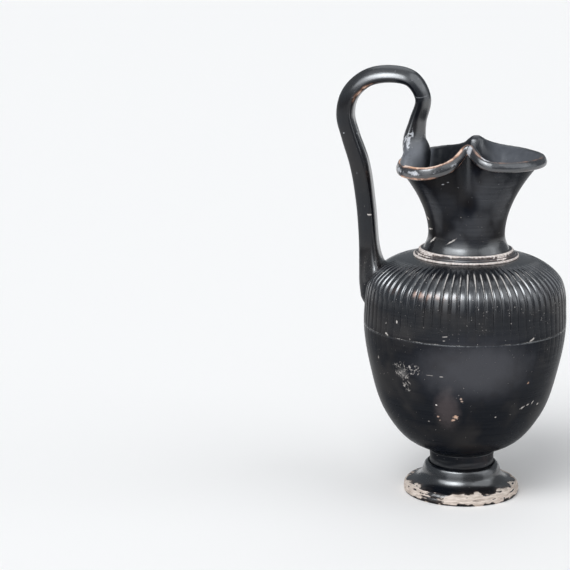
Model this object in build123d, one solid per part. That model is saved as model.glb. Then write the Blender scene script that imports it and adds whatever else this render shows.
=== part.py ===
from build123d import *
import os
from math import cos, exp, radians, sin

# Oinochoe: a wine jug with a ribbed shoulder, a trefoil mouth and a high-swung handle.
# Millimetres, +Z up, origin at the centre of the foot's resting ring.
# The pouring lobe points to +X and the handle stands on -X, so XZ is the plane of symmetry.

# Clay thickness, and the slip that lutes one piece to the next
WALL = 4.0
SLIP = 0.6

# Foot and stem
FOOT_R = 28.9
FOOT_REST_R = 20.5
FOOT_EDGE_R = 28.1
FOOT_BAND_R = 27.2
FOOT_BAND_Z = 5.4
FOOT_TOP_Z = 15.4
FOOT_BELL = [(22.0, 7.0), (20.1, 8.7), (19.5, 10.4), (19.5, 12.4), (18.5, 14.4)]
FOOT_HOLLOW_R = 8.0
FOOT_HOLLOW_Z = 7.0
FOOT_HOLLOW_BULGE = (16.0, 4.6)
FOOT_LINE_Z = 2.9
FOOT_LINE_R = 0.4
STEM_R = 16.3
STEM_BASE_Z = 11.0
STEM_TOP_Z = 22.0

# Body, from its joint on the stem to its joint under the neck
BODY_BASE_Z = STEM_TOP_Z + SLIP
BELLY_R = 50.2
BELLY_Z = 93.0
SHOULDER_R = 28.5
SHOULDER_Z = 120.9
NECK_SEAT_R = 21.5
NECK_SEAT_Z = 122.2
NECK_BORE_R = 17.4
THROAT_RISE = 1.5
BELLY_OUTLINE = [
    (STEM_R, BODY_BASE_Z),
    (27.7, 28.0),
    (39.1, 42.0),
    (46.9, 65.0),
    (BELLY_R, BELLY_Z),
    (46.9, 111.0),
    (37.8, 118.2),
    (SHOULDER_R, SHOULDER_Z),
]

# Incised grooves that leave the ribs standing, and the line that ends them
RIB_COUNT = 72
RIB_TOOL_R = 1.0
RIB_DEPTHS = [0.15, 0.3, 0.5, 0.5, 0.5, -0.2]
RIB_START_R = 31.5
RIB_LINE_Z = 87.3
RIB_LINE_R = 0.5
RIB_LINE_DEPTH = 0.3
PLAIN_PANEL = 12.0

# Fillet ring round the root of the neck: three ridges that step up from the shoulder
RING_R = 27.0
RING_TOP_Z = 124.5
RING_RIDGES = [
    ((27.05, 121.9), (25.5, 122.3)),
    ((25.0, 123.1), (23.8, 123.3)),
    ((23.5, 124.2), (22.3, RING_TOP_Z)),
]

# Neck
NECK_BASE_Z = NECK_SEAT_Z + SLIP
NECK_BASE_BORE = (NECK_BORE_R, NECK_BASE_Z)
NECK_WALL = 3.6
NECK_ROOT = [(20.6, 126.2), (19.5, 129.0)]
NECK_ROOT_BORE = (15.8, 129.0)
WAIST_R = 18.9
WAIST_Z = 132.5
FLARE = 1.8
WALL_SHARES = (0.0, 0.15, 0.3, 0.45, 0.6, 0.75, 0.88, 1.0)
BORE_SHARES = (0.94, 0.8, 0.65, 0.5, 0.35, 0.2, 0.05)

# Trefoil mouth: reach and height of the lip's crest on each lobe, and the two pinches that part them
SPOUT_REACH = 37.6
SPOUT_SIDE_R = 31.0
SPOUT_Z = 172.0
BACK_REACH = 34.2
BACK_SIDE_R = 39.5
BACK_Z = 168.4
PINCH_ANGLE = 85.0
PINCH_R = 18.0
PINCH_Z = 179.0
PINCH_SPREAD_SPOUT = 10.0
PINCH_SPREAD_BACK = 25.0
PINCH_POWER_SPOUT = 1.5
PINCH_POWER_BACK = 2.0
RISE_SPREAD_SPOUT = 13.0
RISE_SPREAD_BACK = 23.0
RISE_SOFT = 3.0
LIP_PROUD = 2.6
LIP_HEIGHT = 5.0
LIP_FACE = [(-0.9, -4.9), (0.4, -3.6), (0.8, -2.0), (0.2, -0.5)]
LIP_TOP = [(-1.2, 0.0), (-2.8, -0.7), (-4.2, -2.0)]
MOUTH_STEPS = 90

# Handle: centre line in the XZ plane with the strap's thickness and width along it
HANDLE_LINE = [
    (-42.8, 93.5, 8.5, 17.0),
    (-47.4, 105.0, 11.0, 17.0),
    (-47.8, 113.5, 10.4, 15.5),
    (-48.6, 123.5, 8.9, 13.0),
    (-50.2, 144.8, 8.7, 12.5),
    (-54.7, 166.4, 8.7, 12.5),
    (-60.8, 185.0, 8.6, 12.5),
    (-59.5, 198.5, 8.7, 12.5),
    (-51.1, 207.8, 8.6, 12.5),
    (-40.3, 210.3, 8.4, 12.5),
    (-29.0, 207.2, 7.8, 12.5),
    (-23.2, 198.4, 7.3, 12.5),
    (-25.2, 187.9, 7.6, 13.5),
    (-26.3, 179.4, 9.4, 17.0),
    (-26.0, 170.4, 13.0, 27.0),
    (-27.2, 163.0, 13.5, 29.0),
    (-28.0, 156.0, 9.0, 22.0),
]
STRAP_SECTION = [
    (0.5, 0.0),
    (0.44, 0.32),
    (0.14, 0.5),
    (-0.24, 0.43),
    (-0.45, 0.22),
    (-0.5, 0.0),
    (-0.45, -0.22),
    (-0.24, -0.43),
    (0.14, -0.5),
    (0.44, -0.32),
]


def turned(*edges):
    """A piece turned about Z from a closed outline of radius and height."""
    return revolve(Plane.XZ * make_face(Curve() + list(edges)), Axis.Z)


def inset_point(curve, at, inset):
    """A point of an outline moved square to it, towards the axis where inset is positive."""
    spot = curve @ at
    along = curve % at
    return (spot.X - inset * along.Y, spot.Y + inset * along.X)


def belly_curve(inset=0.0):
    """The belly's outline, moved inwards by a wall or outwards by a layer of slip."""
    curve = Spline(BELLY_OUTLINE)
    steps = 2 * len(BELLY_OUTLINE)
    return Spline([inset_point(curve, step / steps, inset) for step in range(steps + 1)])


def belly_place(reached):
    """How far along the belly's outline a test on its radius and height first holds."""
    curve = Spline(BELLY_OUTLINE)
    steps = 2000
    return next(step / steps for step in range(steps + 1) if reached(curve @ (step / steps)))


def make_foot():
    """Disc foot with a bell top, a socket for the stem and a hollowed underside."""
    socket_r = STEM_R + SLIP
    socket_z = STEM_BASE_Z - SLIP
    edge = (FOOT_EDGE_R, 0)
    band_top = (FOOT_BAND_R, FOOT_BAND_Z)
    socket_lip = (socket_r, FOOT_TOP_Z)
    hollow_top = (FOOT_HOLLOW_R, FOOT_HOLLOW_Z)
    rest = (FOOT_REST_R, 0)
    foot = turned(
        ThreePointArc(edge, (FOOT_R, FOOT_BAND_Z / 2), band_top),
        Spline([band_top, *FOOT_BELL, socket_lip]),
        Polyline(socket_lip, (socket_r, socket_z), (0, socket_z), (0, FOOT_HOLLOW_Z), hollow_top),
        ThreePointArc(hollow_top, FOOT_HOLLOW_BULGE, rest),
        Line(rest, edge),
    )
    return foot - Pos(0, 0, FOOT_LINE_Z) * Torus(FOOT_R, FOOT_LINE_R)


def make_foot_luting():
    """Slip cup between the stem and its socket in the foot."""
    outer_r = STEM_R + SLIP
    return turned(Polyline(
        (0, STEM_BASE_Z - SLIP), (outer_r, STEM_BASE_Z - SLIP), (outer_r, FOOT_TOP_Z), (STEM_R, FOOT_TOP_Z),
        (STEM_R, STEM_BASE_Z), (0, STEM_BASE_Z), close=True,
    ))


def make_stem():
    """Short turned spigot that carries the belly."""
    height = STEM_TOP_Z - STEM_BASE_Z
    return Pos(0, 0, STEM_BASE_Z) * extrude(Circle(STEM_R), height)


def make_stem_luting():
    """Slip disc between stem and belly."""
    return Pos(0, 0, STEM_TOP_Z) * extrude(Circle(STEM_R), SLIP)


def belly_block(grow=0.0):
    """The belly's outer shape filled in, grown by a layer of slip."""
    side = belly_curve(-grow)
    return turned(side, Polyline(side @ 1, (0, (side @ 1).Y), (0, (side @ 0).Y), side @ 0))


def rib_groove():
    """One groove of the shoulder: a round tool drawn from the neck down to the line, rising as it goes."""
    curve = Spline(BELLY_OUTLINE)
    low = belly_place(lambda spot: spot.Y >= RIB_LINE_Z)
    high = belly_place(lambda spot: spot.X <= RIB_START_R and spot.Y > BELLY_Z)
    last = len(RIB_DEPTHS) - 1
    points = []
    for step, depth in enumerate(RIB_DEPTHS):
        at = low + (high - low) * step / last
        points.append(inset_point(curve, at, depth - RIB_TOOL_R))
    path = Spline([(r, 0, z) for r, z in points])
    return sweep(Plane(path @ 0, z_dir=path % 0) * Circle(RIB_TOOL_R), path)


def make_body():
    """Thrown belly with its hollow, its incised ribs and the line under them."""
    outside = belly_curve()
    inside = belly_curve(WALL)
    floor_z = (inside @ 0).Y
    throat_z = (inside @ 1).Y + THROAT_RISE
    rim = Polyline(
        outside @ 1, (NECK_SEAT_R, NECK_SEAT_Z), (NECK_BORE_R, NECK_SEAT_Z),
        (NECK_BORE_R, throat_z), inside @ 1,
    )
    base = Polyline(inside @ 0, (0, floor_z), (0, BODY_BASE_Z), outside @ 0)
    body = turned(outside, rim, inside, base)
    line_r = (outside @ belly_place(lambda spot: spot.Y >= RIB_LINE_Z)).X
    body -= Pos(0, 0, RIB_LINE_Z) * Torus(line_r + RIB_LINE_R - RIB_LINE_DEPTH, RIB_LINE_R)
    groove = rib_groove()
    pitch = 360 / RIB_COUNT
    turns = [pitch * (rib + 0.5) for rib in range(RIB_COUNT)]
    return body - [Rot(Z=turn) * groove for turn in turns if abs(turn - 180) > PLAIN_PANEL]


def make_neck_luting():
    """Slip ring between shoulder and neck."""
    ring = Circle(NECK_SEAT_R) - Circle(NECK_BORE_R)
    return Pos(0, 0, NECK_SEAT_Z) * extrude(ring, SLIP)


def make_neck_ring():
    """Fillet ring with three ridges, laid in the angle between shoulder and neck."""
    slope = (SHOULDER_Z - NECK_SEAT_Z) / (SHOULDER_R - NECK_SEAT_R)
    seat = (NECK_SEAT_R, NECK_SEAT_Z)
    start = (RING_R, NECK_SEAT_Z + slope * (RING_R - NECK_SEAT_R))
    edges = [Line(seat, start)]
    for ridge, groove in RING_RIDGES:
        edges.append(ThreePointArc(start, ridge, groove))
        start = groove
    edges.append(Polyline(start, (NECK_SEAT_R, RING_TOP_Z), seat))
    return turned(*edges)


def crest(angle):
    """Radius and height of the lip's crest at an angle from the spout."""
    turn = abs((angle + 180) % 360 - 180)
    away = turn - PINCH_ANGLE
    facing = cos(radians(turn)) ** 2
    soft_away = (away ** 2 + RISE_SOFT ** 2) ** 0.5 - RISE_SOFT
    if away < 0:
        reach = SPOUT_SIDE_R + (SPOUT_REACH - SPOUT_SIDE_R) * facing
        dip = exp(-(-away / PINCH_SPREAD_SPOUT) ** PINCH_POWER_SPOUT)
        level = SPOUT_Z
        rise = exp(-soft_away / RISE_SPREAD_SPOUT)
    else:
        reach = BACK_SIDE_R + (BACK_REACH - BACK_SIDE_R) * facing
        dip = exp(-(away / PINCH_SPREAD_BACK) ** PINCH_POWER_BACK)
        level = BACK_Z
        rise = exp(-soft_away / RISE_SPREAD_BACK)
    return reach + (PINCH_R - reach) * dip, level + (PINCH_Z - level) * rise


def mouth_ring(place):
    """A closed curve round the axis from a radius and height at each angle."""
    angles = [360 * step / MOUTH_STEPS for step in range(MOUTH_STEPS)]
    points = []
    for angle in angles:
        radius, height = place(angle)
        points.append((radius * cos(radians(angle)), radius * sin(radians(angle)), height))
    return Wire([Edge.make_spline(points, periodic=True)])


def round_ring(radius, height):
    """A level circle round the axis."""
    return mouth_ring(lambda angle: (radius, height))


def wall_ring(share, inset):
    """A ring of the flaring wall, a share of the way from the waist up to the lip's underside."""
    def place(angle):
        radius, height = crest(angle)
        flare = (radius - LIP_PROUD - WAIST_R) * share ** FLARE
        return WAIST_R + flare - inset, WAIST_Z + (height - LIP_HEIGHT - WAIST_Z) * share
    return mouth_ring(place)


def lip_ring(out, up):
    """A ring of the lip, set off from its crest."""
    def place(angle):
        radius, height = crest(angle)
        return radius + out, height + up
    return mouth_ring(place)


def make_neck(slip=0.0):
    """Flaring neck with its trefoil mouth, made thicker inside and on top by a layer of slip."""
    base_ring = round_ring(NECK_SEAT_R, NECK_BASE_Z)
    outside = [round_ring(NECK_SEAT_R, RING_TOP_Z)]
    outside += [round_ring(radius, height) for radius, height in NECK_ROOT]
    outside += [wall_ring(share, 0.0) for share in WALL_SHARES]
    lip = [outside[-1]]
    lip += [lip_ring(out, up) for out, up in LIP_FACE]
    lip += [lip_ring(out - slip, up + slip) for out, up in LIP_TOP]
    inside = [lip[-1]]
    inside += [wall_ring(share, NECK_WALL + slip) for share in BORE_SHARES]
    inside += [round_ring(radius - slip, height) for radius, height in (NECK_ROOT_BORE, NECK_BASE_BORE)]
    skins = [Shell.make_loft(rings) for rings in (outside, lip, inside)]
    skins.append(Shell.make_loft([base_ring, outside[0]], ruled=True))
    faces = [face for skin in skins for face in skin.faces()]
    faces.append(Face(base_ring, [inside[-1]]))
    return Solid(Shell(faces))


def make_strap():
    """The pulled strap whole, with both ends run into the pieces that carry it."""
    line = Spline([(x, 0, z) for x, z, thick, width in HANDLE_LINE])
    sections = []
    for x, z, thick, width in HANDLE_LINE:
        along = line % line.param_at_point((x, 0, z))
        inwards = Vector(along.Z, 0, -along.X)
        plane = Plane((x, 0, z), x_dir=inwards, z_dir=along)
        points = [(thick * across, width * side) for across, side in STRAP_SECTION]
        sections.append(plane * make_face(Spline(points, periodic=True)))
    return loft(sections)


def largest(shape):
    """The main solid of a cut, without the offcuts on the far side of a wall."""
    return max(shape.solids(), key=lambda solid: solid.volume)


def make_handle_pieces():
    """The handle cut to its seats, with the slip pad at each end."""
    strap = make_strap()
    neck = make_neck()
    coated_neck = make_neck(SLIP)
    coated_belly = belly_block(SLIP)
    return {
        "handle": largest(strap - coated_belly - coated_neck),
        "handle_shoulder_luting": largest((strap & coated_belly) - belly_block()),
        "handle_lip_luting": largest((strap & coated_neck) - neck),
    }


pieces = {
    "body": make_body(),
    "stem": make_stem(),
    "foot": make_foot(),
    "neck": make_neck(),
    "neck_ring": make_neck_ring(),
    "stem_luting": make_stem_luting(),
    "foot_luting": make_foot_luting(),
    "neck_luting": make_neck_luting(),
}
pieces.update(make_handle_pieces())

os.makedirs("parts", exist_ok=True)
for name, piece in pieces.items():
    piece.label = name
    export_step(piece, f"parts/{name}.step")
    print(name, len(piece.solids()), round(piece.volume), piece.is_valid)
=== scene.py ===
"""Looks of the oinochoe jug: worn black gloss over buff clay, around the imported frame."""
from functools import reduce
from math import atan2, ceil, cos, degrees, exp, hypot, pi, radians, sin, sqrt

import bmesh
import bpy
from mathutils import Matrix, Vector, noise


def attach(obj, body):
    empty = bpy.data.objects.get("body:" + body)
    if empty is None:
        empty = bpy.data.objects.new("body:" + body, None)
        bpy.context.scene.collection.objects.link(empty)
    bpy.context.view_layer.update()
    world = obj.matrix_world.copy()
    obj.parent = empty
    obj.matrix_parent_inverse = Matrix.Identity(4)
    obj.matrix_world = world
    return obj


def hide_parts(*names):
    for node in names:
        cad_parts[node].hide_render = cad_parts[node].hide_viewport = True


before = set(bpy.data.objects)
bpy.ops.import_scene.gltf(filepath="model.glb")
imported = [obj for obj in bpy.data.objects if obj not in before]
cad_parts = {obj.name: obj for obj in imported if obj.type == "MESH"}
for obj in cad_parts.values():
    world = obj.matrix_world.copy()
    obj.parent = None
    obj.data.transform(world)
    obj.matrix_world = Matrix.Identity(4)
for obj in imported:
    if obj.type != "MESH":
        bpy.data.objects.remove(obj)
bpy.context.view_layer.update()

# Shapes are drawn in millimetres and brought to metres when a piece is done.
MM = 0.001
FULL_TURN = 2 * pi

# Smallest ring round the axis, which a flat face closes
MIDDLE_R = 0.6

# Foot and stem
STEM_R = 16.3
STEM_BASE_Z = 11.0
STEM_TOP_Z = 22.0
SOCKET_R = 16.9
SOCKET_Z = 10.4
FOOT_UNDERSIDE = [
    (MIDDLE_R, 7.0), (4.0, 7.0), (8.0, 7.0), (12.4, 6.2), (16.0, 4.6), (18.6, 2.5), (20.5, 0.0),
]
FOOT_EDGE = [
    (20.5, 0.0), (21.4, 0.0), (24.0, 0.0), (26.6, 0.0),
    (28.1, 0.0), (28.65, 0.25), (28.95, 1.1), (29.0, 2.2),
]
FOOT_BAND = [
    (29.0, 2.2), (28.8, 2.55), (28.65, 2.9), (28.75, 3.25),
    (28.8, 3.5), (28.3, 4.5), (27.6, 5.2), (26.6, 5.7),
]
FOOT_BELL = [(26.6, 5.7), (22.4, 7.2), (20.0, 10.0), (19.2, 12.6), (18.2, 14.6), (16.95, 15.4)]
FOOT_SOCKET = [
    (SOCKET_R, 15.3), (SOCKET_R, 13.0), (SOCKET_R, SOCKET_Z),
    (12.0, SOCKET_Z), (6.0, SOCKET_Z), (MIDDLE_R, SOCKET_Z),
]
FOOT_SEGMENTS = 360
STEM_BASE = [(MIDDLE_R, STEM_BASE_Z), (8.0, STEM_BASE_Z)]
STEM_SIDE = [
    (STEM_R, STEM_BASE_Z), (STEM_R, 14.0), (16.1, 16.5), (16.0, 19.0), (STEM_R, 21.2), (STEM_R, STEM_TOP_Z),
]
STEM_TOP = [(8.0, STEM_TOP_Z), (MIDDLE_R, STEM_TOP_Z)]
STEM_SEGMENTS = 240

# Body
BODY_BASE_Z = 22.6
BELLY_OUTLINE = [
    (STEM_R, BODY_BASE_Z), (27.7, 28.0), (39.1, 42.0), (46.9, 65.0),
    (50.2, 93.0), (46.9, 111.0), (37.8, 118.2), (28.5, 120.9),
]
BODY_BASE = [(MIDDLE_R, BODY_BASE_Z), (6.0, BODY_BASE_Z), (12.0, BODY_BASE_Z)]
BELLY_SPACING = 0.5
WALL = 4.0
NECK_SEAT_R = 21.5
NECK_SEAT_Z = 122.2
NECK_BORE_R = 17.4
NECK_SEAT = [(26.0, 121.35), (NECK_SEAT_R, NECK_SEAT_Z), (NECK_BORE_R, NECK_SEAT_Z), (NECK_BORE_R, 119.0)]

# Grooves that leave the ribs standing, and the line that ends them
RIB_COUNT = 72
RIB_SAMPLES = 12
RIB_DEPTHS = [0.14, 0.44, 0.58, 0.64, 0.62, 0.5, 0.0]
RIB_GROOVE_HALF = 0.52
RIB_CROWDING = 0.6
RIB_START_R = 31.0
RIB_LINE_Z = 87.3
RIB_LINE_DEPTH = 0.3
RIB_LINE_HALF = 0.26
RIB_LINE_RISES = (-0.9, -0.6, -0.3, 0.0, 0.3, 0.6, 0.9)
RIB_LINE_CLEAR = 1.0
RIB_TRACE_Z = 68.0
RIB_TRACE_DEPTH = 0.1
PLAIN_PANEL = radians(12.0)
PLAIN_PANEL_BLEND = 0.05

# Points of the belly's line from one ring of vertices to the next: on the plain belly, near the ribs, on them
# and inside the wall
PLAIN_STEP = 7
PLAIN_TO_Z = RIB_LINE_Z - 22
NEAR_RIBS_STEP = 4
NEAR_RIBS_TO_Z = RIB_LINE_Z - 4
RIB_STEP = 2
INSIDE_STEP = 12

# Fillet ring at the root of the neck
RING_LINE = [
    (25.9, 121.2), (26.15, 121.75), (26.0, 122.2), (25.5, 122.45), (24.95, 122.3), (24.75, 122.45),
    (24.65, 122.95), (24.35, 123.4), (23.9, 123.6), (23.6, 123.75), (23.6, 124.3), (23.35, 124.8),
    (22.9, 125.15), (22.2, 125.2), (21.3, 125.1),
]
RING_SEAT = (NECK_SEAT_R, 122.25)
RING_SEGMENTS = 480

# Neck and mouth
NECK_SEGMENTS = 480
NECK_WALL_STEPS = 56
NECK_BORE_STEPS = 40
NECK_BORE_SHARE = 0.94
WAIST_R = 18.9
WAIST_Z = 132.5
NECK_ROOT = [
    (NECK_SEAT_R, 122.8), (NECK_SEAT_R, 124.5), (20.85, 126.2), (19.75, 128.6), (19.15, 130.6),
]
NECK_ROOT_BORE = [(15.3, WAIST_Z), (15.8, 129.0), (NECK_BORE_R, 122.8)]
NECK_WALL = 3.6
FLARE = 1.8
SPOUT_FLARE = 0.08
SPOUT_UNDERCUT = 0.7
SPOUT_REACH = 37.6
SPOUT_SIDE_R = 31.0
SPOUT_Z = 172.0
BACK_REACH = 34.2
BACK_SIDE_R = 39.5
BACK_Z = 168.4
PINCH_ANGLE = 85.0
PINCH_R = 18.0
PINCH_Z = 179.0
PINCH_SPREAD_SPOUT = 10.0
PINCH_SPREAD_BACK = 25.0
PINCH_POWER_SPOUT = 1.5
PINCH_POWER_BACK = 2.0
PINCH_EASE = 1.6

# How the lip rises to its pinches: first value on the near side, second on the far side
RISE_SPREAD_SPOUT = (6.6, 5.5)
RISE_SPREAD_BACK = (11.2, 9.0)
RISE_SOFT = (7.0, 4.5)
SIDE_BLEND = 0.5

# Long tail of the rise on the far side: its share and its spread in degrees
RISE_TAIL_SPOUT = (0.3, 32.0)
RISE_TAIL_BACK = (0.5, 45.0)

# Rolled lip: its height on each lobe against the drawn one, and its outline, set off from the crest
LIP_FULL_BACK = 1.22
LIP_FULL_SPOUT = 0.97
LIP_PROUD = 2.6
LIP_HEIGHT = 5.0
LIP_LINE = [
    (-2.6, -5.0), (-0.9, -5.1), (0.5, -4.5), (0.9, -3.3), (0.5, -1.7),
    (-0.3, -0.45), (-1.4, 0.0), (-2.8, -0.6), (-4.2, -2.0),
]

# Handle: centre line in the XZ plane with the strap's thickness and width along it
HANDLE_LINE = [
    (-41.8, 93.5, 7.6, 17.0),
    (-46.9, 105.0, 10.2, 17.0),
    (-47.9, 113.5, 10.5, 15.5),
    (-48.8, 123.5, 9.8, 13.0),
    (-50.6, 144.8, 9.5, 12.5),
    (-54.4, 166.4, 9.7, 12.5),
    (-58.9, 179.5, 9.1, 12.5),
    (-61.4, 189.5, 9.0, 12.5),
    (-59.7, 198.7, 8.9, 12.5),
    (-51.1, 207.8, 8.6, 12.5),
    (-39.6, 210.5, 8.4, 12.5),
    (-28.0, 208.0, 7.9, 12.5),
    (-22.6, 199.0, 7.5, 12.5),
    (-24.9, 187.9, 8.2, 14.0),
    (-26.3, 179.4, 10.6, 20.0),
    (-25.0, 171.0, 13.0, 33.0),
    (-26.2, 164.0, 13.5, 40.0),
    (-28.0, 156.0, 9.0, 30.0),
]
STRAP_SECTION = [
    (0.5, 0.0), (0.47, 0.34), (0.3, 0.5), (0.05, 0.46), (-0.22, 0.33), (-0.43, 0.16),
    (-0.5, 0.0), (-0.43, -0.16), (-0.22, -0.33), (0.05, -0.46), (0.3, -0.5), (0.47, -0.34),
]
STRAP_SIDES = 56
STRAP_SPACING = 1.3
STRAP_INNER_GLOSS = 0.9
LEG_SEAT_Z = 140.0
TONGUE_SEAT_X = -32.0
TONGUE_SEAT_Z = 180.0
SEAT_SINK = 1.0

# Clay smeared round each end of the strap: how thick, and how far it runs
LEG_FILLET = (2.6, 3.4)
TONGUE_FILLET = (1.6, 2.2)


def smooth_line(points, spacing, closed=False):
    """Points at about an even spacing on a smooth curve through the given ones."""
    points = [Vector(point) for point in points]
    if closed:
        points = [points[-1], *points, points[0], points[1]]
    spans = [(b - a).length for a, b in zip(points, points[1:])]
    slopes = [(b - a) / span for a, b, span in zip(points, points[1:], spans)]
    leans = [
        (slopes[i] * spans[i + 1] + slopes[i + 1] * spans[i]) / (spans[i] + spans[i + 1])
        for i in range(len(slopes) - 1)
    ]
    leans = [1.5 * slopes[0] - 0.5 * leans[0], *leans, 1.5 * slopes[-1] - 0.5 * leans[-1]]
    first, last = (1, len(spans) - 1) if closed else (0, len(spans))
    line = []
    for i in range(first, last):
        steps = max(1, ceil(spans[i] / spacing))
        for step in range(steps):
            t = step / steps
            line.append(
                points[i] * (1 - t) ** 2 * (1 + 2 * t)
                + leans[i] * spans[i] * t * (1 - t) ** 2
                + points[i + 1] * t ** 2 * (3 - 2 * t)
                - leans[i + 1] * spans[i] * t ** 2 * (1 - t)
            )
    if not closed:
        line.append(points[-1])
    return line


def evenly(line, count):
    """A closed line of points told off again into an even count."""
    ring = [*line, line[0]]
    runs = [0.0]
    for a, b in zip(ring, ring[1:]):
        runs.append(runs[-1] + (b - a).length)
    found = []
    i = 0
    for k in range(count):
        run = runs[-1] * k / count
        while runs[i + 1] < run:
            i += 1
        found.append(ring[i].lerp(ring[i + 1], (run - runs[i]) / (runs[i + 1] - runs[i])))
    return found


def soft_step(low, high, x):
    """0 below low, 1 above high and smooth between them."""
    t = min(max((x - low) / (high - low), 0.0), 1.0)
    return t * t * (3 - 2 * t)


def bell(x, centre, half):
    """1 at the centre, falling off smoothly on both sides."""
    return exp(-((x - centre) / half) ** 2)


def turn_apart(a, b):
    """Smallest angle between two directions round the axis."""
    return abs((a - b + pi) % FULL_TURN - pi)


def grain(x, y, z, seed=0.0):
    """Smooth noise between about -1 and 1."""
    return noise.noise(Vector((x, y, z + 17.3 * seed)))


def grain_round(fineness, angle, z, seed=0.0):
    """Smooth noise that runs on round the axis."""
    return grain(fineness * cos(angle), fineness * sin(angle), z, seed)


# Faces that look up have kept their gloss, and so has the strap's inner side: it comes in between these tilts
GLOSS_KEPT = (-0.05, 0.4)
INNER_GLOSS_KEPT = (0.45, 0.75)


class Piece:
    """A piece of the jug drawn up ring by ring from one circle of vertices."""

    def __init__(self, name, count, inner_gloss=0.0):
        self.name = name
        self.count = count
        self.inner_gloss = inner_gloss
        self.bm = bmesh.new()
        self.place_on_ring = self.bm.verts.layers.float.new("place_on_ring")
        self.wear = self.bm.verts.layers.float.new("wear")
        self.dust = self.bm.verts.layers.float.new("dust")
        self.dull = self.bm.verts.layers.float.new("dull")
        self.gloss = self.bm.verts.layers.float.new("gloss")
        self.ring = None
        self.first = None

    def draw(self, place):
        """Adds a ring: place gives a point, and how worn, dusty and dull it is, for a vertex's number."""
        if self.ring is None:
            made = bmesh.ops.create_circle(self.bm, segments=self.count, radius=1.0)["verts"]
            for k, vert in enumerate(made):
                vert[self.place_on_ring] = k
            self.ring = self.bm.edges[:]
            self.first = self.ring
        else:
            grown = bmesh.ops.extrude_edge_only(self.bm, edges=self.ring)["geom"]
            made = [part for part in grown if isinstance(part, bmesh.types.BMVert)]
            edges = [part for part in grown if isinstance(part, bmesh.types.BMEdge)]
            self.ring = [edge for edge in edges if edge.is_boundary]
        for vert in made:
            point, wear, dust, dull = place(round(vert[self.place_on_ring]))
            vert.co = point
            vert[self.wear] = wear
            vert[self.dust] = dust
            vert[self.dull] = dull

    def turn(self, line, finish=None):
        """Adds rings of radius and height; finish may move a point, and says how it has worn."""
        for radius, height in line:
            def place(k, radius=radius, height=height):
                angle = FULL_TURN * k / self.count
                out, up, wear, dust, dull = finish(angle, radius, height) if finish else (0, 0, 0, 0, 0)
                r = radius + out
                return Vector((r * cos(angle), r * sin(angle), height + up)), wear, dust, dull
            self.draw(place)

    def close_ends(self):
        """Fills the first and the last ring."""
        for ring in (self.first, self.ring):
            bmesh.ops.contextual_create(self.bm, geom=ring)

    def close_round(self):
        """Joins the last ring to the first."""
        bmesh.ops.bridge_loops(self.bm, edges=self.first + self.ring)

    def done(self, finish, *nodes):
        """Makes the mesh's object, which stands for the CAD nodes that are named."""
        bm = self.bm
        bmesh.ops.recalc_face_normals(bm, faces=bm.faces)
        bm.normal_update()
        for vert in bm.verts:
            inner = self.inner_gloss * soft_step(*INNER_GLOSS_KEPT, vert.normal.x)
            vert[self.gloss] = max(soft_step(*GLOSS_KEPT, vert.normal.z), inner)
        bmesh.ops.scale(bm, vec=(MM, MM, MM), verts=bm.verts)
        for face in bm.faces:
            face.smooth = True
        bm.verts.layers.float.remove(self.place_on_ring)
        mesh = bpy.data.meshes.new(self.name)
        bm.to_mesh(mesh)
        bm.free()
        mesh.materials.append(finish)
        made = bpy.data.objects.new(self.name, mesh)
        bpy.context.scene.collection.objects.link(made)
        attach(made, "root")
        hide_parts(*nodes)
        return made


# Belly

BELLY_LINE = smooth_line(BELLY_OUTLINE, BELLY_SPACING)


def square_to(line, i):
    """Direction square to a line of radius and height, pointing away from the axis."""
    along = (line[min(i + 1, len(line) - 1)] - line[max(i - 1, 0)]).normalized()
    return Vector((along.y, -along.x))


def belly_gap(point):
    """How far a point is outside the belly, and the direction straight out of it."""
    spot = Vector((hypot(point.x, point.y), point.z))
    i = min(range(len(BELLY_LINE)), key=lambda n: (BELLY_LINE[n] - spot).length_squared)
    out = square_to(BELLY_LINE, i)
    around = atan2(point.y, point.x)
    return (spot - BELLY_LINE[i]).dot(out), Vector((out.x * cos(around), out.x * sin(around), out.y))


def rib_depth(share):
    """How deep the grooves between the ribs are, a share of the way up from their line."""
    at = min(max(share, 0.0), 1.0) * (len(RIB_DEPTHS) - 1)
    low = min(int(at), len(RIB_DEPTHS) - 2)
    return RIB_DEPTHS[low] + (RIB_DEPTHS[low + 1] - RIB_DEPTHS[low]) * (at - low)


def belly_rows(line_at):
    """The belly's rings from the bottom up: a place on its line each, and how far the ring is shifted up."""
    rows = []
    i = 0
    while i < len(BELLY_LINE):
        z = BELLY_LINE[i].y
        if abs(z - RIB_LINE_Z) > RIB_LINE_CLEAR:
            rows.append((i, 0.0))
        i += PLAIN_STEP if z < PLAIN_TO_Z else NEAR_RIBS_STEP if z < NEAR_RIBS_TO_Z else RIB_STEP
    below = [row for row in rows if row[0] < line_at]
    above = [row for row in rows if row[0] > line_at]
    lift = RIB_LINE_Z - BELLY_LINE[line_at].y
    return below + [(line_at, lift + rise) for rise in RIB_LINE_RISES] + above


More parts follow.
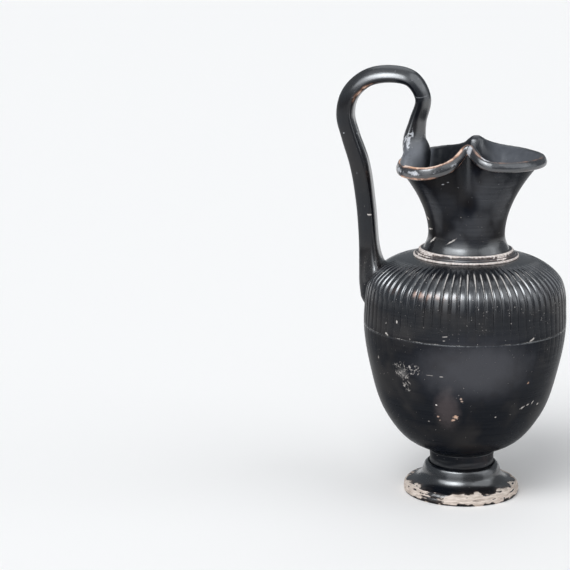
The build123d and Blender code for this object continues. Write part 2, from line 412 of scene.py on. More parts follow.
def make_body(finish):
    """Thrown belly with its hollow, its ribs, and the line under them."""
    body = Piece("body_shell", RIB_COUNT * RIB_SAMPLES)
    pitch = FULL_TURN / RIB_COUNT
    low = next(i for i, spot in enumerate(BELLY_LINE) if spot.y >= RIB_LINE_Z)
    high = next(i for i, spot in enumerate(BELLY_LINE) if spot.y > RIB_LINE_Z and spot.x <= RIB_START_R)

    def belly_row(i, rise):
        spot = BELLY_LINE[i]
        out = square_to(BELLY_LINE, i)
        share = (i - low) / (high - low)
        depth = rib_depth(share) if 0 <= share <= 1 else 0.0
        trace = RIB_TRACE_DEPTH * soft_step(RIB_TRACE_Z, RIB_LINE_Z, spot.y) if share < 0 else 0.0
        line = bell(spot.y + rise, RIB_LINE_Z, RIB_LINE_HALF) if abs(share) < 0.1 else 0.0

        def place(k):
            rib = k // RIB_SAMPLES
            step = k / RIB_SAMPLES - rib
            step += RIB_CROWDING * sin(FULL_TURN * step) / FULL_TURN
            angle = pitch * (rib + step)
            sway = 0.2 * grain(rib * 0.71, share * 2.5, 3.0)
            across = (step - 0.5) * pitch * spot.x + sway
            ribbed = soft_step(PLAIN_PANEL, PLAIN_PANEL + PLAIN_PANEL_BLEND, turn_apart(angle, pi))
            groove = bell(across, 0.0, RIB_GROOVE_HALF) * ribbed
            uneven = 1.0 + 0.35 * grain(rib * 1.37, share * 3.0, 9.0)
            right_side = 0.4 + 0.6 * soft_step(-1.2, -0.7, angle - FULL_TURN) if angle > pi else 0.4
            cut = groove * (depth * uneven + trace * right_side) + line * RIB_LINE_DEPTH
            lump = 0.12 * grain_round(1.6, angle, spot.y * 0.045, 2)
            r = spot.x + out.x * (lump - cut)
            z = spot.y + rise + out.y * (lump - cut)

            # Ribs are rubbed where hands hold the jug, and lime has stayed in the upper ends of the grooves
            handled = 0.15 + 0.85 * bell(angle, radians(251), 0.36)
            own = 0.55 + 0.6 * grain(rib * 3.1, share * 2.0, 7.0)
            wear = (1 - groove) * bell(share, 0.52, 0.07) * 0.86 * handled * own if depth else 0.0
            limed = 0.68 + 0.4 * bell(angle, radians(287), 0.4) + 0.7 * grain(rib * 2.1, share * 1.2, 5.0)
            upper_end = (0.3 + 0.7 * bell(share, 0.8, 0.2)) * soft_step(0.08, 0.3, share)
            dust = groove ** 1.6 * soft_step(0.0, 0.5, depth * uneven) * limed * upper_end
            broken = 0.42 + 0.55 * grain_round(9, angle, 2.0)
            return Vector((r * cos(angle), r * sin(angle), z)), wear, max(dust, line * broken), 0.0
        return place

    body.turn(BODY_BASE)
    for i, rise in belly_rows(low):
        body.draw(belly_row(i, rise))
    body.turn(NECK_SEAT)
    inside = []
    for i in range(len(BELLY_LINE) - 1, -1, -INSIDE_STEP):
        spot = BELLY_LINE[i] - square_to(BELLY_LINE, i) * WALL
        if spot.x > NECK_BORE_R + 0.5 or spot.y < 60:
            inside.append(tuple(spot))
    body.turn(inside)
    floor_z = inside[-1][1]
    body.turn([(6.0, floor_z), (MIDDLE_R, floor_z)])
    body.close_ends()
    return body.done(finish, "body")


# Foot, stem and ring

def foot_finish(angle, radius, height):
    """The foot's resting band has lost its black and is rubbed uneven."""
    rubbed = soft_step(20.6, 22.5, radius) * (1 - soft_step(5.2, 6.6, height))
    rough = 0.22 * grain_round(7, angle, height * 0.55) + 0.12 * grain_round(19, angle, height)
    ragged = 1.2 * grain_round(3.1, angle, 4.0) + 0.5 * grain_round(9, angle, 2.0)
    wear = soft_step(20.6, 22.0, radius) * (1 - soft_step(4.9, 6.6, height + ragged))

    # Black is left in one patch on the left of the front, along the lowest edge and in spots
    streaks = grain_round(4, angle, height * 2.2, 6) + 0.4 * grain_round(13, angle, height, 7)
    kept = bell(turn_apart(angle, radians(-116)), 0.0, 0.2) ** 0.5
    kept *= soft_step(-0.5, -0.1, streaks) * soft_step(0.5, 1.2, height)
    lowest = 1 - soft_step(0.4, 1.5, height + 0.8 * grain_round(9, angle, 1.0, 8))
    soiled = lowest * soft_step(26.4, 27.4, radius) * soft_step(-0.5, -0.15, grain_round(5, angle, 3.0, 9))
    spots = soft_step(0.42, 0.55, grain_round(7, angle, height * 1.5, 10))
    wear *= 1 - max(0.8 * kept, 0.9 * soiled, 0.9 * spots)
    return rubbed * rough, 0.0, wear, 0.0, 0.0


def make_foot(finish):
    """Turned disc foot with a bell top, a socket for the stem and a hollowed underside."""
    foot = Piece("foot_disc", FOOT_SEGMENTS)
    foot.turn(smooth_line(FOOT_UNDERSIDE, 1.5)[:-1], lambda *spot: (0, 0, 0.75, 0, 1))
    foot.turn(FOOT_EDGE[:-1], foot_finish)
    foot.turn(smooth_line(FOOT_BAND, 0.35)[:-1], foot_finish)
    foot.turn(smooth_line(FOOT_BELL, 0.6), foot_finish)
    foot.turn(FOOT_SOCKET)
    foot.close_ends()
    return foot.done(finish, "foot")


def make_stem(finish):
    """Short turned spigot between foot and belly, duller and browner on the right."""
    def spun(angle, radius, height):
        out = 0.1 * grain_round(2, angle, height * 1.5) if radius > 15 else 0.0
        brown = 0.14 * bell(turn_apart(angle, radians(-45)), 0.0, 0.6)
        return out, 0.0, 0.03 + brown, 0.0, 0.06 + brown
    stem = Piece("stem_spigot", STEM_SEGMENTS)
    stem.turn(STEM_BASE, spun)
    stem.turn(smooth_line(STEM_SIDE, 0.8), spun)
    stem.turn(STEM_TOP, spun)
    stem.close_ends()
    return stem.done(finish, "stem")


def make_neck_ring(finish):
    """Fillet ring of three ridges, its crests rubbed down to the clay."""
    def rubbed(angle, radius, height):
        out = 0.14 * grain_round(6, angle, radius)
        lowest = 0.92 * bell(radius, 25.9, 0.6) * soft_step(121.3, 121.7, height)
        middle = 0.4 * bell(radius, 24.5, 0.25)
        top = 0.95 * bell(radius, 23.0, 0.65)
        ends = 0.3 * max(bell(turn_apart(angle, radians(at)), 0.0, 0.36) for at in (211, 326))
        patchy = 0.14 * grain_round(4, angle, radius * 0.3, 3) + 0.1 * grain_round(15, angle, radius, 4)
        return out, out * 0.6, min(max(lowest, middle, top) + ends + patchy, 1.0), 0.0, 0.3
    ring = Piece("neck_fillet_ring", RING_SEGMENTS)
    ring.turn(smooth_line(RING_LINE, 0.2), rubbed)
    ring.turn([RING_SEAT])
    ring.close_round()
    return ring.done(finish, "neck_ring")


# Neck and mouth

def crest(angle, ease=0.0):
    """Radius and height of the lip's crest at an angle from the spout in degrees; ease widens the pinches."""
    turn = abs((angle + 180) % 360 - 180)
    away = turn - PINCH_ANGLE
    far_side = soft_step(-SIDE_BLEND, SIDE_BLEND, sin(radians(angle)))
    facing = cos(radians(turn)) ** 2
    if away < 0:
        reach = SPOUT_SIDE_R + (SPOUT_REACH - SPOUT_SIDE_R) * facing
        power = PINCH_POWER_SPOUT + 0.5 * min(ease, 1.0)
        dip = exp(-(-away / (PINCH_SPREAD_SPOUT * (1 + ease))) ** power)
        level = SPOUT_Z
        near, far = RISE_SPREAD_SPOUT
        tail, tail_spread = RISE_TAIL_SPOUT
    else:
        reach = BACK_SIDE_R + (BACK_REACH - BACK_SIDE_R) * facing
        dip = exp(-(away / (PINCH_SPREAD_BACK * (1 + 0.3 * ease))) ** PINCH_POWER_BACK)
        level = BACK_Z
        near, far = RISE_SPREAD_BACK
        tail, tail_spread = RISE_TAIL_BACK
    soft = RISE_SOFT[0] + (RISE_SOFT[1] - RISE_SOFT[0]) * far_side
    soft_away = sqrt(away ** 2 + soft ** 2) - soft
    spread = near + (far - near) * far_side
    tail *= far_side
    rise = (1 - tail) * exp(-soft_away / spread) + tail * exp(-soft_away / tail_spread)
    return reach + (PINCH_R - reach) * dip, level + (PINCH_Z - level) * rise


def set_off(radius_at, angle, out):
    """A point in plan, set off square to a closed curve that has this radius at each angle in degrees."""
    nudge = 0.2
    radius = radius_at(angle)
    slope = (radius_at(angle + nudge) - radius_at(angle - nudge)) / radians(2 * nudge)
    turn = radians(angle)
    along = Vector((slope * cos(turn) - radius * sin(turn), slope * sin(turn) + radius * cos(turn)))
    along.normalize()
    return Vector((radius * cos(turn) + out * along.y, radius * sin(turn) - out * along.x))


def lip_fullness(angle):
    """How high the rolled lip stands: full on the back lobe, slim on the spout."""
    turn = abs((angle + 180) % 360 - 180)
    back = soft_step(PINCH_ANGLE - 10, PINCH_ANGLE + 25, turn)
    return LIP_FULL_SPOUT + (LIP_FULL_BACK - LIP_FULL_SPOUT) * back


def wall_spot(angle, share, inset):
    """A point of the flaring wall, a share of the way from the waist up to the lip's underside."""
    spout = max(cos(radians(angle)), 0.0)
    flare = max(share, 0.0) ** (FLARE + SPOUT_FLARE * spout)
    tucked = -(LIP_PROUD + SPOUT_UNDERCUT * spout) * flare - inset
    ease = PINCH_EASE * (0.3 + 0.7 * max(1 - share, 0.0) ** 0.7)
    plan = set_off(lambda at: WAIST_R + (crest(at, ease)[0] - WAIST_R) * flare, angle, tucked)
    height = WAIST_Z + (crest(angle)[1] - LIP_HEIGHT * lip_fullness(angle) - WAIST_Z) * share
    return Vector((plan.x, plan.y, height))


def mouth_gap(point):
    """How far a point is inside the mouth's wall, and the direction straight out of the wall."""
    around = atan2(point.y, point.x)
    angle = degrees(around)
    radius, height = crest(angle)
    share = (point.z - WAIST_Z) / (height - LIP_HEIGHT - WAIST_Z)
    wall = wall_spot(angle, min(share, 1.0), NECK_WALL).xy.length
    over = soft_step(height - LIP_HEIGHT, height, point.z)
    wall += (radius - 2.0 - wall) * over
    free = 60.0 * soft_step(height - 0.5, height + 4.0, point.z)
    return wall + free - hypot(point.x, point.y), Vector((-cos(around), -sin(around), 0.0))


def near_back(angle):
    """How rubbed the lip is: most on the lobe beside the handle, less on the spout and on the far side."""
    away = degrees(turn_apart(angle, 0.0))
    return (0.48 + 0.52 * soft_step(70, 88, away)) * (1 - 0.6 * soft_step(-0.2, 0.2, sin(angle)))


def inside_dull(angle):
    """The mouth's inside is dull but for the crest of the far pinch."""
    return 0.95 - 0.6 * bell(turn_apart(angle, radians(PINCH_ANGLE)), 0.0, radians(7))


def lip_ring(out, up):
    """A ring of the rolled lip, set off from its crest: its place, wear, dust and dullness at an angle."""
    low_edge = bell(hypot(out - 0.4, up + 4.5), 0.0, 0.9)
    top_edge = bell(hypot(out + 1.1, up + 0.15), 0.0, 1.2)
    # The roll's face, where the near lobe carries pale chalk that is partly a painted highlight
    face = bell(hypot(out - 0.75, up + 2.2), 0.0, 1.5)
    inner = soft_step(2.0, 3.4, -out) if up > -3 else 0.0

    def spot(angle):
        turn = radians(angle)
        uneven = 0.16 * grain_round(5, turn, 1.0) + 0.1 * grain_round(14, turn, 2.0)
        plan = set_off(lambda at: crest(at)[0], angle, out + uneven * 0.6)
        return Vector((plan.x, plan.y, crest(angle)[1] + up * lip_fullness(angle) + uneven))

    def wear(angle):
        rough = 0.3 * grain_round(6, angle, 4.0) + 0.2 * grain_round(17, angle, 5.0)
        pinched = 1 - 0.5 * bell(turn_apart(angle, radians(-PINCH_ANGLE)), 0.0, radians(7))
        return max((0.48 + 1.3 * rough) * low_edge, (0.74 + rough) * top_edge * pinched) * near_back(angle)

    def dust(angle):
        beside_pinch = bell(turn_apart(angle, radians(3 - PINCH_ANGLE)), 0.0, radians(3))
        crease = 0.85 * beside_pinch * soft_step(-1.8, -0.4, out)
        # Pale patches on the near lobe's face: partly chalky wear, partly a painted highlight along the lip
        lobe_chalk_and_highlight = soft_step(radians(190), radians(206), angle)
        lobe_chalk_and_highlight *= 1 - soft_step(radians(256), radians(269), angle)
        rough = 0.9 * grain_round(5, angle, out * 0.6, 11) + 0.5 * grain_round(16, angle, out, 12)
        spout_spots = bell(angle, radians(291), radians(7)) * top_edge
        return max(crease, lobe_chalk_and_highlight * face * (0.55 + 0.8 * rough), spout_spots * (0.55 + rough))

    def dull(angle):
        return 0.15 + (inside_dull(angle) - 0.15) * inner

    return spot, wear, dust, dull


def make_neck(finish):
    """Thrown neck, flared and pinched into a trefoil mouth with a rolled lip."""
    neck = Piece("neck_mouth", NECK_SEGMENTS)

    def ring(spot, *kinds):
        def place(k):
            angle = FULL_TURN * k / neck.count
            return spot(degrees(angle)), *(kind(angle) if kind else 0.0 for kind in kinds)
        neck.draw(place)

    neck.turn(smooth_line(NECK_ROOT, 0.8))
    for step in range(NECK_WALL_STEPS + 1):
        share = step / NECK_WALL_STEPS
        ring(lambda angle: wall_spot(angle, share, 0.0), None, None, None)
    for out, up in smooth_line(LIP_LINE, 0.32)[1:]:
        ring(*lip_ring(out, up))
    for step in range(1, NECK_BORE_STEPS + 1):
        share = NECK_BORE_SHARE * (1 - step / NECK_BORE_STEPS)
        ring(lambda angle: wall_spot(angle, share, NECK_WALL), None, None, inside_dull)
    neck.turn(smooth_line(NECK_ROOT_BORE, 1.5)[1:], lambda *spot: (0, 0, 0, 0, 1))
    neck.close_round()
    return neck.done(finish, "neck")


# Handle

def seat(point, off, x, z):
    """A point of the strap's ends, spread into a fillet and kept from sinking through the wall it joins."""
    if z < LEG_SEAT_Z:
        gap_of = belly_gap
        fillet, reach = LEG_FILLET
    elif x > TONGUE_SEAT_X and z < TONGUE_SEAT_Z:
        gap_of = mouth_gap
        fillet, reach = TONGUE_FILLET
    else:
        return point
    gap = gap_of(point)[0]
    point += off.normalized() * fillet * exp(-max(gap, 0.0) / reach)
    gap, out = gap_of(point)
    if gap < -SEAT_SINK:
        point += out * (-SEAT_SINK - gap)
    return point


def make_handle(finish):
    """Pulled strap, swung high, with both ends run out over the clay that carries them."""
    handle = Piece("handle_strap", STRAP_SIDES, STRAP_INNER_GLOSS)
    section = evenly(smooth_line(STRAP_SECTION, 0.02, closed=True), STRAP_SIDES)
    line = smooth_line(HANDLE_LINE, STRAP_SPACING)
    for i, (x, z, thick, width) in enumerate(line):
        before = line[max(i - 1, 0)]
        after = line[min(i + 1, len(line) - 1)]
        along = Vector((after[0] - before[0], 0.0, after[1] - before[1])).normalized()
        inwards = Vector((along.z, 0.0, -along.x))
        centre = Vector((x, 0.0, z))
        tongue = soft_step(-34, -30, x)

        def place(k):
            across, side = section[k]
            off = inwards * (across * thick) + Vector((0.0, side * width, 0.0))
            lump = 0.12 * grain(x * 0.08, side * 2.0, z * 0.08, 4)
            point = seat(centre + off * (1 + lump * 0.12), off, x, z)

            # Rubbed along the near edge of the arch
            corner = bell(across, 0.38, 0.12) * soft_step(0.3, 0.42, abs(side))
            arch = bell(x, -53.0, 7.0) * soft_step(190, 199, z) * (side < 0)
            frayed = 0.7 + 1.1 * grain(*point * 0.4, 14)
            wear = corner * (0.1 + 0.75 * arch * frayed)

            # Flakes on the near edge above the mouth, lime at the foot of the leg, a dull tongue in the mouth
            near_edge = soft_step(0.2, 0.35, -side) * soft_step(-0.1, 0.1, across)
            flakes = bell(z, 178.0, 9.0) * tongue * near_edge * (0.3 + 1.25 * grain(*point * 0.8, 13))
            root = bell(z, 117.0, 3.0) * soft_step(0.2, 0.4, across) if z < LEG_SEAT_Z else 0.0
            lime = 0.6 * root * (0.5 + 0.7 * grain(*point * 0.35, 6))
            # The tongue's dull grey in the finish is partly dust and partly painted light
            dull = tongue * (1 - soft_step(172, 184, z))
            return point, wear, max(flakes, lime, 0.1 * dull), 0.8 * dull
        handle.draw(place)
    handle.close_ends()
    return handle.done(finish, "handle")


# Finishes

class Shade:
    """A value in a finish's node tree, so that shader maths reads as plain arithmetic."""

    def __init__(self, finish, socket):
        self.finish = finish
        self.socket = socket

    def maths(self, operation, *others):
        inputs = dict(enumerate((self, *others)))
        return self.finish.node("ShaderNodeMath", {"operation": operation}, inputs)

    def __add__(self, other):
        return self.maths("ADD", other)

    __radd__ = __add__

    def __mul__(self, other):
        return self.maths("MULTIPLY", other)

    __rmul__ = __mul__

    def __sub__(self, other):
        return self.maths("SUBTRACT", other)

    def __rsub__(self, other):
        return self.finish.node("ShaderNodeMath", {"operation": "SUBTRACT"}, {0: other, 1: self})

    def __truediv__(self, other):
        return self.maths("DIVIDE", other)

    def __pow__(self, other):
        return self.maths("POWER", other)

    def __abs__(self):
        return self.maths("ABSOLUTE")

    def most(self, other):
        return self.maths("MAXIMUM", other)

    def step(self, low, high):
        """0 below low, 1 above high and smooth between them."""
        return self.finish.node(
            "ShaderNodeMapRange", {"interpolation_type": "SMOOTHSTEP"},
            {"Value": self, "From Min": low, "From Max": high},
        )


class Finish:
    """A procedural material: its node tree, and the values that its patterns are made from."""

    def __init__(self, name):
        self.material = bpy.data.materials.new(name)
        self.material.use_nodes = True
        self.tree = self.material.node_tree
        self.tree.nodes.clear()
        self.place = self.node("ShaderNodeTexCoord", out="Object")
        self.x, self.y, self.z = self.parts(self.place)

    def node(self, kind, settings=None, inputs=None, out=0):
        """Any node: its settings, then the values or links of its sockets; gives one of its outputs."""
        made = self.tree.nodes.new(kind)
        for name, value in (settings or {}).items():
            setattr(made, name, value)
        for name, value in (inputs or {}).items():
            if isinstance(value, Shade):
                self.tree.links.new(value.socket, made.inputs[name])
            else:
                made.inputs[name].default_value = value
        return Shade(self, made.outputs[out])

    def parts(self, vector):
        """The three values of a vector."""
        split = self.tree.nodes.new("ShaderNodeSeparateXYZ")
        self.tree.links.new(vector.socket, split.inputs[0])
        return [Shade(self, socket) for socket in split.outputs]

    def vector(self, x, y, z):
        return self.node("ShaderNodeCombineXYZ", None, {0: x, 1: y, 2: z})

    def worked(self, name):
        """A value that the mesh carries at its vertices."""
        return self.node("ShaderNodeAttribute", {"attribute_name": name}, out="Fac")

    def noise(self, size, detail=3.0, rough=0.55, place=None):
        """Noise with lumps of a size in millimetres, around 0.5."""
        return self.node(
            "ShaderNodeTexNoise", None,
            {"Vector": place or self.place, "Scale": 1 / (size * MM), "Detail": detail, "Roughness": rough},
        )

    def mix(self, amount, a, b):
        """One colour over another."""
        under, over = (colour if isinstance(colour, Shade) else (*colour, 1.0) for colour in (a, b))
        return self.node("ShaderNodeMix", {"data_type": "RGBA"}, {"Factor": amount, 6: under, 7: over}, out=2)

    def surface(self, **inputs):
        """The one shader of the finish, and its output."""
        named = {name.replace("_", " "): value for name, value in inputs.items()}
        made = self.node("ShaderNodeBsdfPrincipled", None, named)
        end = self.tree.nodes.new("ShaderNodeOutputMaterial")
        self.tree.links.new(made.socket, end.inputs["Surface"])
        return self.material


# Chips and rubbed spots: angle and height on the jug, length, breadth and lean of the mark, and its strength
CHALKY_MARKS = [
    (-143, 130.6, 3.2, 0.7, 38, 1.0),
    (-106, 131.4, 3.0, 0.45, 34, 0.9),
    (-153.0, 135.6, 3.0, 0.6, 10, 1.0),
    (-155.0, 141.0, 2.6, 0.65, -17, 1.0),
    (-112.9, 160.1, 0.7, 0.35, 10, 0.7),
    (-109.0, 161.0, 0.5, 0.3, 20, 0.5),
    (-100.5, 55.8, 0.6, 0.55, 0, 1.0),
    (-34.1, 54.6, 1.2, 0.4, 60, 0.9),
    (-42.7, 52.9, 1.6, 0.5, 25, 0.9),
    (-38.4, 53.9, 1.0, 0.4, 20, 0.8),
    (-27.5, 52.7, 1.0, 0.5, 30, 0.9),
    (-132.4, 88.2, 1.6, 0.7, -15, 0.9),
    (-43.5, 88.4, 2.0, 0.6, 20, 0.8),
    (-94.5, 91.3, 1.4, 0.35, 5, 0.5),
    (-95.0, 89.3, 0.7, 0.4, 5, 0.45),
    (-124.5, 95.4, 0.8, 0.6, 80, 0.9),
    (-142.4, 74.6, 1.1, 0.5, 80, 0.6),
    (-96.5, 71.0, 1.1, 0.3, 0, 0.7),
    (-103.5, 71.2, 2.2, 0.25, 0, 0.45),
    (-62.1, 49.6, 0.55, 0.45, 0, 0.9),
    (-107.0, 46.2, 0.6, 0.4, 0, 0.5),
    (-172.5, 141.0, 0.3, 0.45, 0, 1.0),
    (-176.0, 181.0, 0.5, 0.4, 0, 0.8),
    (-165.0, 199.6, 3.0, 0.3, -20, 0.18),
]
CLAY_MARKS = [
    (-88.2, 49.9, 1.5, 1.2, 20, 0.85),
    (-90.2, 48.1, 1.1, 0.7, 30, 0.75),
    (-85.1, 59.9, 0.8, 0.7, 60, 0.7),
    (-84.6, 58.6, 0.5, 0.7, 80, 0.5),
    (-100.0, 49.6, 0.7, 0.5, 20, 0.6),
    (-42.4, 66.0, 0.7, 0.55, 30, 0.55),
    (-99.0, 47.6, 0.5, 0.4, 20, 0.5),
]


# Where the foot's pale clay gives way, the mouth begins and the ring's clay ends, by height or radius
FOOT_TONE_Z = (8.0, 12.0)
MOUTH_TONE_Z = (150, 152)
RING_TONE_Z = (120.5, 121.2)
RING_TONE_TOP_Z = (125.6, 126.4)
RING_TONE_R = (29, 31)

# Soft patches of painted sheen on the neck, a lighter bluish colour with more coat: angle, height, half
# breadth, half height and strength
NECK_PAINTED_SHEEN = [
    (-57, 157, 12, 16, 1.0),
    (-70, 139, 14, 13, 1.0),
    (-97, 133, 9, 6, 1.0),
    (-38, 150, 8, 18, 1.0),
    (-131, 146, 6, 16, 1.0),
    (-112, 150, 8, 12, 0.4),
]
# Painted shade below the near pinch, which darkens the neck's sheen and takes away its coat: angle, height,
# half breadth, half height
NECK_PAINTED_SHADE = (-82, 150.0, 5.5, 8.0)

# Scuffed patch low on the left of the belly, and its greyest place: angle, height, half breadth, half height
# and how uneven its edge is
SCUFFS = [
    (-123, 71.5, 5.0, 4.4, 1.8),
    (-114, 73, 5.5, 3.2, 1.8),
    (-119, 65.5, 2.6, 5.0, 1.8),
]
SCUFF_CORE = (-122, 70.3, 3.6, 3.4, 1.4)

# Painted sheen on the belly's front, a lighter bluish grey with more coat, and a rosy rubbed place low down
BELLY_PAINTED_SHEEN = (-77, 75, 39, 20, 0.2)
ROSY_PLACE = (-94, 53.0, 7.0, 13, 0.9)


def most_of(shades):
    """The strongest of several values at each point."""
    return reduce(Shade.most, shades)


def black_gloss():
    """Black gloss over buff clay, with a cool sheen, painted sheen and shade on the belly and neck, wheel
    lines, rubbed edges, chips, specks and lime.
    """
    f = Finish("black_gloss_slip")
    height = f.z / MM
    around = f.node("ShaderNodeMath", {"operation": "ARCTAN2"}, {0: f.y, 1: f.x})
    out = ((f.x * f.x + f.y * f.y) ** 0.5) / MM
    above_foot = height.step(*FOOT_TONE_Z)
    on_mouth = height.step(*MOUTH_TONE_Z)
    on_ring = height.step(*RING_TONE_Z) * (1 - height.step(*RING_TONE_TOP_Z)) * (1 - out.step(*RING_TONE_R))

    wear = f.worked("wear")
    dust = f.worked("dust")
    dull = f.worked("dull")
    kept_gloss = f.worked("gloss")

    clouds = f.noise(24, 3)
    blotches = f.noise(6, 4, 0.6)
    ragged = f.noise(1.3, 4, 0.65)
    fine = f.noise(0.4, 3, 0.6)
    wheel = f.noise(1.0, 4, 0.65, f.vector(f.x * 0.03, f.y * 0.03, f.z * 1.6))
    wander = f.noise(0.8, 3, 0.65)

    def mark(angle, at, length, breadth, lean, strength):
        """A small leaning mark with a wandering edge."""
        across = (around - radians(angle)) * out
        up = height - at
        along = across * (cos(radians(lean)) / length) + up * (sin(radians(lean)) / length)
        square = up * (cos(radians(lean)) / breadth) - across * (sin(radians(lean)) / breadth)
        far = (along * along + square * square) ** 0.5 + (wander - 0.5) * 2.2
        return (1 - far.step(0.45, 1.0)) * strength

    def haze(angle, at, broad, tall, uneven=0.7):
        """Soft patch with an uneven edge, 1 in its middle."""
        across = (around - radians(angle)) * out / broad
        up = (height - at) / tall
        far = (across * across + up * up) ** 0.5
        return 1 - (far + (clouds - 0.5) * 0.5 + (blotches - 0.5) * uneven).step(0.2, 1.1)

    # Slip rubbed thin shows brown, and rubbed through it shows the clay
    thin = (wear + (blotches - 0.5) * 0.5).step(0.08, 0.6)
    bare = (wear + (ragged - 0.5) * 0.8 + (blotches - 0.5) * 0.7).step(0.52, 0.68)
    bare = bare.most(most_of(mark(*one) for one in CLAY_MARKS))

    # Short curled scratches in the scuffed patch
    scuffed = most_of(haze(*one) for one in SCUFFS)
    curls = abs(f.noise(1.9, 2, 0.5) - 0.5)
    scuff = scuffed.step(0.0, 0.4) * (1 - curls.step(0.02, 0.045)) * (ragged - 0.5).step(-0.04, 0.06) * 0.68

    # Pale flecks, most of them on the shoulder, and lime in the grooves; on the near lobe of the lip this
    # pale is partly a painted highlight
    on_shoulder = height.step(84, 104) * (1 - height.step(115, 121))
    specks = f.noise(0.75, 2, 0.5)
    crowd = on_shoulder * 0.05 + (blotches - 0.5) * 0.24 + (fine - 0.5) * 0.12
    fleck = (specks + crowd).step(0.76, 0.8) * 0.6
    lime = (dust + (ragged - 0.5) * 0.8 + (clouds - 0.5) * 0.5).step(0.42, 0.75) * 0.8
    pale = most_of(mark(*one) for one in CHALKY_MARKS).most(fleck).most(scuff).most(lime)

    # Painted sheen: a lighter, glossier patch on the belly's front
    belly_painted_sheen = haze(*BELLY_PAINTED_SHEEN)
    # Painted shade below the near pinch
    neck_painted_shade = haze(*NECK_PAINTED_SHADE)
    # Painted sheen on the neck, streaked along the wheel lines and held back in the painted shade under the
    # pinch
    neck_painted_sheen = most_of(haze(*place) * strength for *place, strength in NECK_PAINTED_SHEEN)
    neck_painted_sheen = neck_painted_sheen * (0.85 + (wheel - 0.5) * 1.1) * (1 - neck_painted_shade * 0.8)

    # The black and its tones, dull in the mouth: dark at the back, greyer in the spout and on the tongue,
    # partly dust and partly painted light
    black = f.mix(clouds.step(0.4, 0.65), (0.0038, 0.0052, 0.0086), (0.0096, 0.0085, 0.0094))
    # Painted sheen on the belly's front and on the neck, lighter and bluer than the black
    black = f.mix(belly_painted_sheen * 0.7, black, (0.0285, 0.0293, 0.0395))
    black = f.mix(neck_painted_sheen * 0.5, black, (0.021, 0.0245, 0.035))
    black = f.mix(haze(*ROSY_PLACE) * 0.55, black, (0.097, 0.077, 0.077))
    black = f.mix(haze(*SCUFF_CORE) * 0.8, black, (0.137, 0.131, 0.127))
    in_spout = (f.x / MM).step(-2, 12) * 0.45
    on_tongue = (f.x / -MM).step(19, 23)
    # Greyer in the spout and on the tongue: partly dust, partly painted light where those faces catch it
    soiled = 0.5 + (in_spout.most(on_tongue) - 0.5) * on_mouth + (blotches - 0.5) * 0.5
    black = f.mix(dull * 0.75, black, f.mix(soiled, (0.026, 0.028, 0.032), (0.28, 0.29, 0.318)))
    black = f.mix(dust.step(0.05, 0.6) * 0.5, black, (0.056, 0.055, 0.058))
    worn = f.mix(thin.step(0.3, 0.8), (0.125, 0.058, 0.038), (0.50, 0.275, 0.188))
    worn = f.mix(on_ring, worn, (0.125, 0.090, 0.076))
    worn = f.mix(1 - above_foot, worn, (0.075, 0.056, 0.048))
    black = f.mix(thin * 0.7, black, worn)

    # Clay where the slip is gone, and chalky marks over both
    clay = f.mix(blotches.step(0.35, 0.65), (0.74, 0.44, 0.29), (0.80, 0.61, 0.51))
    ring_clay = f.mix(ragged.step(0.35, 0.65), (0.55, 0.465, 0.42), (0.84, 0.765, 0.715))
    clay = f.mix(on_ring, clay, ring_clay)
    streaks = f.noise(1.0, 4, 0.65, f.vector(f.x * 0.22, f.y * 0.22, f.z * 1.5))
    foot_clay = f.mix(streaks.step(0.32, 0.62), (0.43, 0.35, 0.295), (0.72, 0.62, 0.545))
    clay = f.mix(above_foot, foot_clay, clay)
    mottled = fine.step(0.35, 0.65)
    chalk = f.mix(mottled, (0.49, 0.44, 0.405), (0.79, 0.74, 0.695))
    # Bluish white in the mouth: chalk, and on the near lobe's lip face partly a painted highlight
    mouth_chalk_and_highlight = f.mix(mottled, (0.52, 0.52, 0.545), (0.82, 0.835, 0.87))
    chalk = f.mix(on_mouth, chalk, mouth_chalk_and_highlight)
    colour = f.mix(bare, black, clay)
    colour = f.mix(pale, colour, chalk)

    gone = bare.most(pale)
    soft = 0.3 + (clouds - 0.5) * 0.14 + (wheel - 0.5) * 0.16 + (blotches - 0.5) * 0.1 + dull * 0.25
    roughness = soft + (0.8 - soft) * gone

    # Gloss lies on the faces that look up, and in patches elsewhere
    on_stem = height.step(14.4, 15.4) * (1 - height.step(22.2, 22.8))
    on_ribs = height.step(86, 92) * (1 - height.step(117, 121))
    on_handle = (f.x / -MM).step(33, 37) * height.step(121, 126)
    on_lip = dull.step(0.05, 0.13) * on_mouth
    patchy = 0.08 + (clouds - 0.5).step(-0.05, 0.15) * 0.1 + (wheel - 0.5) * 0.2
    patchy = patchy * (0.6 + height.step(35, 65) * 0.4) * (1 - height.step(124, 130) * 0.6)
    patchy = patchy * (0.4 + around.step(radians(-150), radians(-115)) * 0.6) * (1 - on_stem * 0.5)
    gloss = kept_gloss.most(patchy + on_ribs * 0.1 + on_handle * 0.22 + on_lip * 0.9)
    gloss = gloss.most(belly_painted_sheen * 0.36).most(neck_painted_sheen * 0.36)
    gloss = gloss * (1 - dull) * (1 - gone) * (1 - thin * 0.4) * (1 - neck_painted_shade * 0.9)

    relief = wheel * 0.45 + fine * 0.06 + ragged * 0.15 - gone * 0.5
    bump = f.node("ShaderNodeBump", None, {"Strength": 0.3, "Distance": 0.2 * MM, "Height": relief})
    return f.surface(
        Base_Color=colour, Roughness=roughness, Normal=bump, Coat_Weight=gloss,
        IOR=1.08, Specular_Tint=(0.8, 0.9, 1.0, 1.0), Coat_Roughness=0.23, Coat_IOR=2.2,
    )


slip = black_gloss()
make_body(slip)
make_foot(slip)
make_stem(slip)
make_neck_ring(slip)
make_neck(slip)
make_handle(slip)

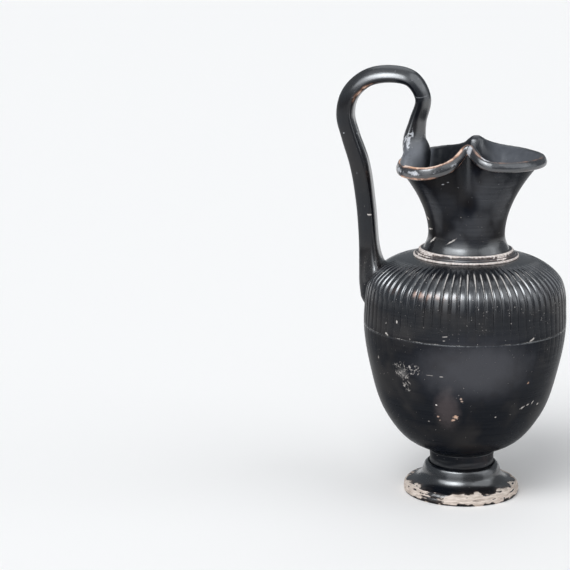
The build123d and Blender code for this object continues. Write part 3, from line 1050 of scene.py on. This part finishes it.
for name in ("stem_luting", "foot_luting", "neck_luting", "handle_lip_luting", "handle_shoulder_luting"):
    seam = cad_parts[name]
    seam.data.materials.clear()
    seam.data.materials.append(slip)


# Floor, light and camera

FLOOR_HALF = 9.0
FLOOR_COLOUR = (0.94, 0.905, 0.875, 1.0)

# Softboxes: direction towards each, strength, and how many degrees wide it looks from the jug
LAMPS = [
    ("softbox_middle", (-0.10, -0.63, 0.77), 0.86, 28),
    ("softbox_front", (-0.30, -0.56, 0.77), 0.80, 28),
    ("softbox_left", (-0.58, -0.50, 0.64), 0.40, 28),
    ("softbox_far", (0.25, -0.59, 0.77), 0.12, 40),
    ("softbox_right", (0.72, -0.12, 0.68), 0.56, 50),
    ("pale_ceiling", (-0.05, -0.50, 0.86), 0.26, 76),
    ("pale_wall_front", (-0.22, -0.92, 0.32), 0.40, 46),
    ("pale_wall_back", (0.0, 0.47, 0.88), 0.38, 50),
    ("pale_wall_right", (0.97, 0.08, 0.16), 0.26, 40),
]
LAMP_COLOUR = (0.92, 0.96, 1.0)
ROOM_COLOUR = (0.86, 0.93, 1.0, 1.0)
ROOM_STRENGTH = 0.235

# Camera: place in metres, lens in millimetres, and how far it is turned, tipped down and rolled in degrees
CAMERA_PLACE = (0.10453, -0.99452, 0.3231)
CAMERA_LENS = 129.41
CAMERA_SENSOR = 36.0
CAMERA_TURN = 11.148
CAMERA_TIP = 12.305
CAMERA_ROLL = 0.18


def make_floor():
    """A wide pale floor."""
    bm = bmesh.new()
    bmesh.ops.create_grid(bm, x_segments=1, y_segments=1, size=FLOOR_HALF)
    mesh = bpy.data.meshes.new("floor")
    bm.to_mesh(mesh)
    bm.free()
    floor = bpy.data.objects.new("floor", mesh)
    bpy.context.scene.collection.objects.link(floor)
    paint = Finish("pale_floor")
    mesh.materials.append(paint.surface(Base_Color=FLOOR_COLOUR, Roughness=0.9, Specular_IOR_Level=0.1))


def make_lights():
    """Soft overhead light, a little to the left and in front, and a dim room."""
    for name, towards, strength, spread in LAMPS:
        softbox = bpy.data.lights.new(name, "SUN")
        softbox.angle = radians(spread)
        softbox.energy = strength
        softbox.color = LAMP_COLOUR
        lamp = bpy.data.objects.new(name, softbox)
        lamp.rotation_euler = Vector(towards).to_track_quat("Z", "Y").to_euler()
        bpy.context.scene.collection.objects.link(lamp)
    room = bpy.data.worlds.new("room")
    bpy.context.scene.world = room
    room.use_nodes = True
    background = room.node_tree.nodes["Background"]
    background.inputs["Color"].default_value = ROOM_COLOUR
    background.inputs["Strength"].default_value = ROOM_STRENGTH


def make_camera():
    """The photograph's view: from the right of the front, looking down a little."""
    lens = bpy.data.cameras.new("camera")
    lens.sensor_width = CAMERA_SENSOR
    lens.lens = CAMERA_LENS
    camera = bpy.data.objects.new("camera", lens)
    camera.matrix_world = (
        Matrix.Translation(CAMERA_PLACE)
        @ Matrix.Rotation(radians(CAMERA_TURN), 4, "Z")
        @ Matrix.Rotation(radians(90 - CAMERA_TIP), 4, "X")
        @ Matrix.Rotation(radians(CAMERA_ROLL), 4, "Z")
    )
    bpy.context.scene.collection.objects.link(camera)
    bpy.context.scene.camera = camera


make_floor()
make_lights()
make_camera()
bpy.context.scene.view_settings.view_transform = "Standard"
